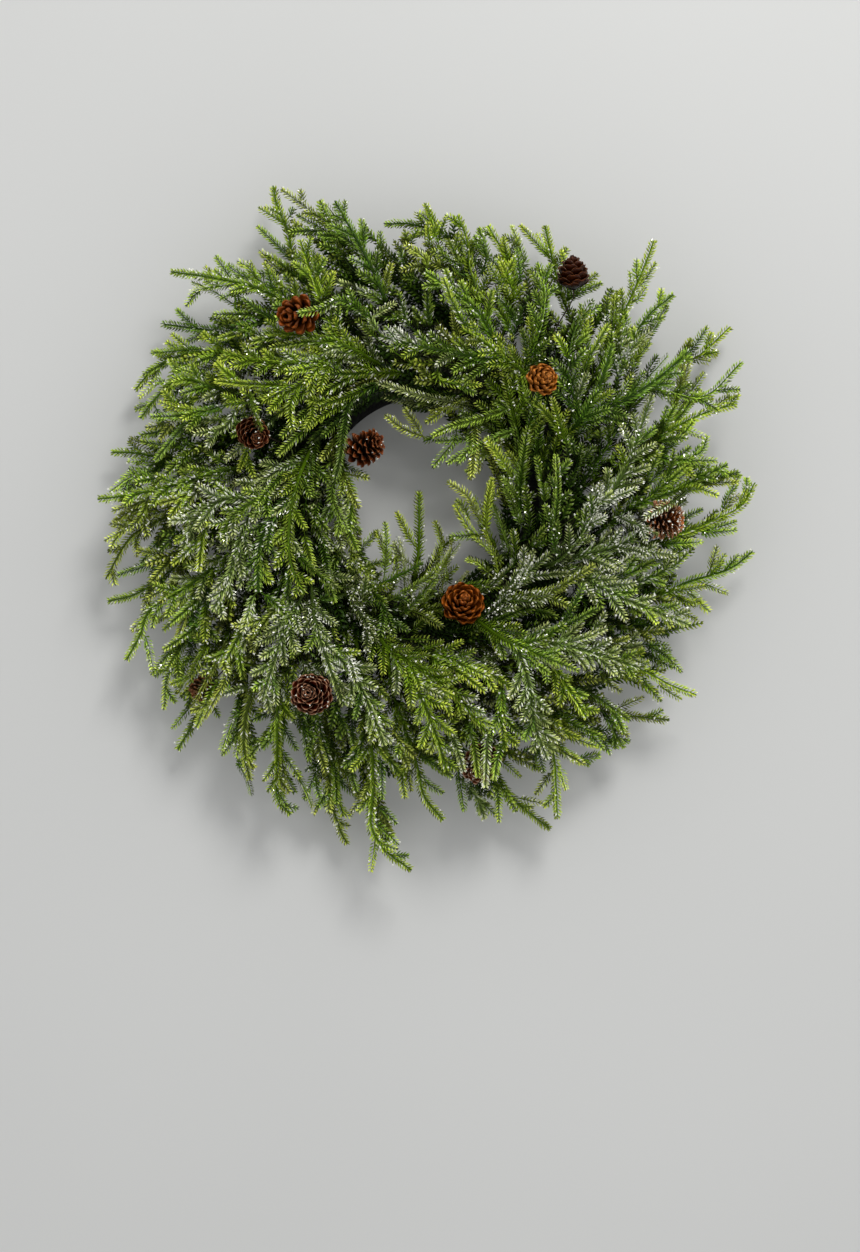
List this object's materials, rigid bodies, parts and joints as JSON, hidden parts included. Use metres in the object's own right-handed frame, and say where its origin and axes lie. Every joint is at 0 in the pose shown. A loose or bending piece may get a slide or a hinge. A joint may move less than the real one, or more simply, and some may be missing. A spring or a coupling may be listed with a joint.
{
  "type": "pine wreath",
  "caption": "Round artificial pine wreath: needle-clad sprays and small natural cones on wire picks, seated in a half-round black ring base with a flat back.",
  "frame": {"origin": "on the plane it rests on, under the middle of its bounding box", "axes": "+Z out of the front of the wreath, away from the flat back; +Y is the top and +X the right of the wreath as it hangs, seen from the front"},
  "size_m": [0.5534, 0.5818, 0.111],
  "materials": {
    "needles_green": "soft moulded needles, deep green at the stem to yellow green at the tips, with a fine glitter",
    "needles_frosted": "the same needles with a silvery white frosting and glitter",
    "cone_brown": "natural cone scales, red brown with paler edges",
    "cone_tan": "natural cone scales, orange tan",
    "pick_wire": "dark lacquered wire",
    "ring_black": "coarse black flocked foam"
  },
  "bodies": {
    "root": {"cone_wire_01": "pick_wire", "cone_wire_02": "pick_wire", "cone_wire_03": "pick_wire", "cone_wire_04": "pick_wire", "cone_wire_05": "pick_wire", "cone_wire_06": "pick_wire", "cone_wire_07": "pick_wire", "cone_wire_08": "pick_wire", "cone_wire_09": "pick_wire", "cone_wire_10": "pick_wire", "inner_spray_01": "needles_green", "inner_spray_02": "needles_green", "inner_spray_03": "needles_green", "inner_spray_04": "needles_green", "inner_spray_05": "needles_green", "outer_spray_01": "needles_green", "outer_spray_02": "needles_green", "outer_spray_03": "needles_green", "outer_spray_04": "needles_green", "outer_spray_05": "needles_green", "outer_spray_06": "needles_green", "outer_spray_07": "needles_green", "outer_spray_08": "needles_green", "outer_spray_09": "needles_green", "outer_spray_10": "needles_green", "outer_spray_11": "needles_green", "outer_spray_12": "needles_frosted", "outer_spray_13": "needles_green", "outer_spray_14": "needles_green", "outer_spray_15": "needles_green", "outer_spray_16": "needles_green", "outer_spray_17": "needles_green", "outer_spray_18": "needles_green", "outer_spray_19": "needles_green", "outer_spray_20": "needles_green", "outer_spray_21": "needles_green", "outer_spray_22": "needles_green", "outer_spray_23": "needles_green", "outer_spray_24": "needles_green", "outer_spray_25": "needles_green", "pine_cone_01": "cone_brown", "pine_cone_02": "cone_brown", "pine_cone_03": "cone_tan", "pine_cone_04": "cone_brown", "pine_cone_05": "cone_brown", "pine_cone_06": "cone_brown", "pine_cone_07": "cone_brown", "pine_cone_08": "cone_brown", "pine_cone_09": "cone_brown", "pine_cone_10": "cone_tan", "ring_base": "ring_black", "top_spray_01": "needles_green", "top_spray_02": "needles_frosted", "top_spray_03": "needles_frosted", "top_spray_04": "needles_green", "top_spray_05": "needles_green", "top_spray_06": "needles_frosted", "top_spray_07": "needles_green", "top_spray_08": "needles_green", "top_spray_09": "needles_green"}
  },
  "joints": []
}
